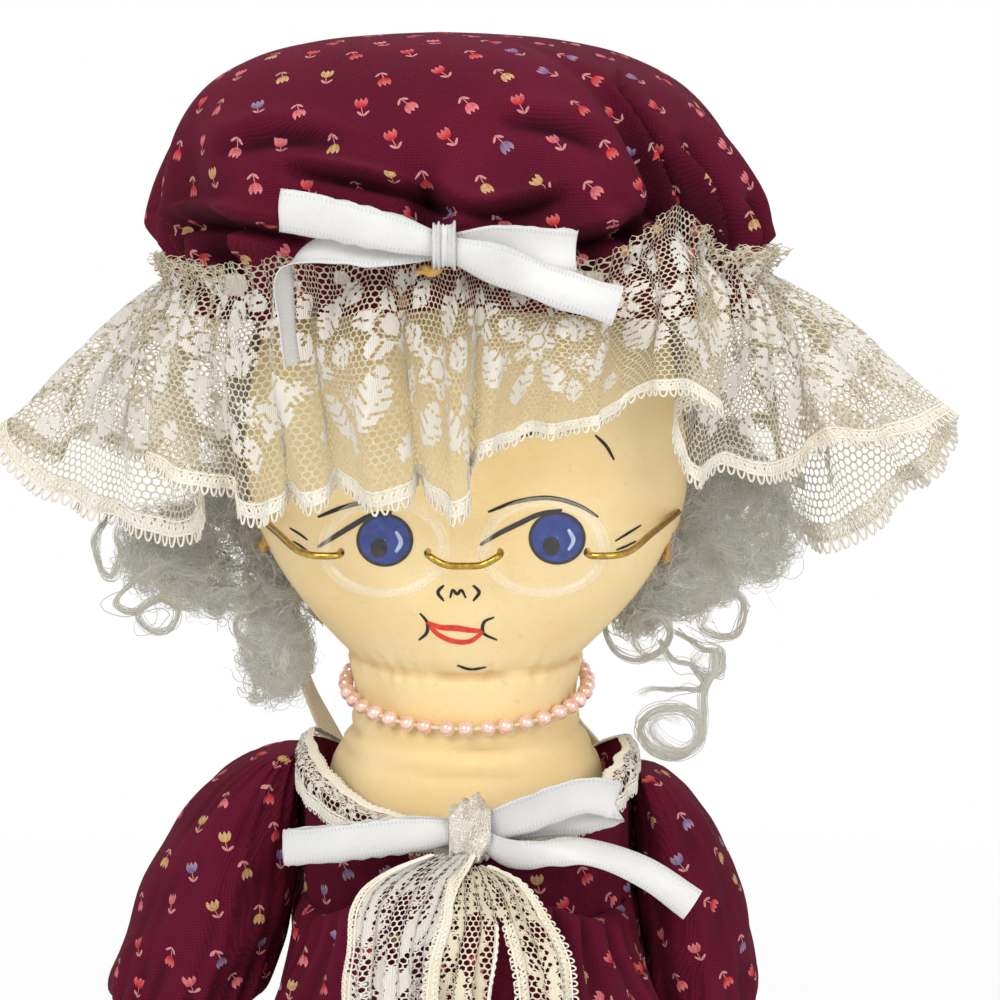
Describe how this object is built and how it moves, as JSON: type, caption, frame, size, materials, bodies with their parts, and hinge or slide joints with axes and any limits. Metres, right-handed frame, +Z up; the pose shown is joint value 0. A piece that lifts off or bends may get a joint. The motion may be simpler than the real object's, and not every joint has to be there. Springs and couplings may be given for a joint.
{
  "type": "cloth bag holder doll",
  "caption": "Hanging cloth doll in a mob cap and spectacles whose long skirt is a tube for folded carrier bags, filled by a slit behind and emptied at an elastic hem.",
  "frame": {"origin": "middle of the level inner face of the hanging tape, where a hook bears", "axes": "+Z up along the hanging doll, +X to the right of someone facing it, face towards -Y"},
  "size_m": [0.23, 0.1376, 0.585],
  "materials": {
    "muslin": "plain woven cotton, matt",
    "calico": "printed cotton, matt",
    "lace": "net lace, matt",
    "ribbon": "satin sheen",
    "elastic": "ribbed",
    "hair": "curled mohair, soft sheen",
    "lens": "clear moulded plastic",
    "wire": "bright drawn wire",
    "pearl": "pearl lustre",
    "tape": "twill weave, matt"
  },
  "bodies": {
    "doll": {"neck_and_chest": "muslin", "bodice": "calico", "neckline_lace": "lace", "skirt_bag": "calico", "hem_elastic": "elastic", "chest_bow_ribbon": "ribbon", "chest_bow_knot": "lace"},
    "head": {"head": "muslin", "cap_crown": "calico", "cap_elastic": "elastic", "cap_lace": "lace", "cap_bow_ribbon": "ribbon", "cap_bow_knot": "ribbon", "left_hair": "hair", "right_hair": "hair", "back_hair": "hair", "right_ringlet": "hair", "right_upper_curl": "hair", "right_inner_curl": "hair", "left_ringlet": "hair", "left_outer_curl": "hair", "left_upper_curl": "hair"},
    "glasses": {"left_lens": "lens", "right_lens": "lens", "bridge_wire": "wire", "left_temple": "wire", "right_temple": "wire"},
    "necklace": {"pearl_strand": "pearl"},
    "left_arm": {"left_arm": "muslin", "left_sleeve": "calico", "left_sleeve_elastic": "elastic"},
    "right_arm": {"right_arm": "muslin", "right_sleeve": "calico", "right_sleeve_elastic": "elastic"},
    "jabot": {"jabot_left": "lace", "jabot_right": "lace"},
    "loop": {"hanging_tape": "tape"}
  },
  "joints": [
    {"name": "head_nod", "type": "hinge", "parent": "doll", "child": "head", "pos_m": [0, -0.057, -0.0425], "axis": [1, 0, 0], "range_deg": [-4, 12], "stiffness_Nm_per_rad": 0.8},
    {"name": "glasses_tilt", "type": "hinge", "parent": "head", "child": "glasses", "pos_m": [0, -0.069, -0.0002], "axis": [1, 0, 0], "range_deg": [0, 12]},
    {"name": "necklace_turn", "type": "hinge", "parent": "doll", "child": "necklace", "pos_m": [0, -0.057, -0.0428], "axis": [0, -0.1564, 0.9877], "continuous": true},
    {"name": "left_arm_lift", "type": "hinge", "parent": "doll", "child": "left_arm", "pos_m": [-0.0431, -0.057, -0.0605], "axis": [0, 1, 0], "range_deg": [0, 45]},
    {"name": "right_arm_lift", "type": "hinge", "parent": "doll", "child": "right_arm", "pos_m": [0.0431, -0.057, -0.0655], "axis": [0, -1, 0], "range_deg": [0, 40]},
    {"name": "jabot_lift", "type": "hinge", "parent": "doll", "child": "jabot", "pos_m": [0.0012, -0.1005, -0.0767], "axis": [-1, 0, 0], "range_deg": [0, 60]},
    {"name": "loop_flop", "type": "hinge", "parent": "doll", "child": "loop", "pos_m": [0, -0.0273, -0.0816], "axis": [1, 0, 0], "range_deg": [-95, 0]}
  ]
}
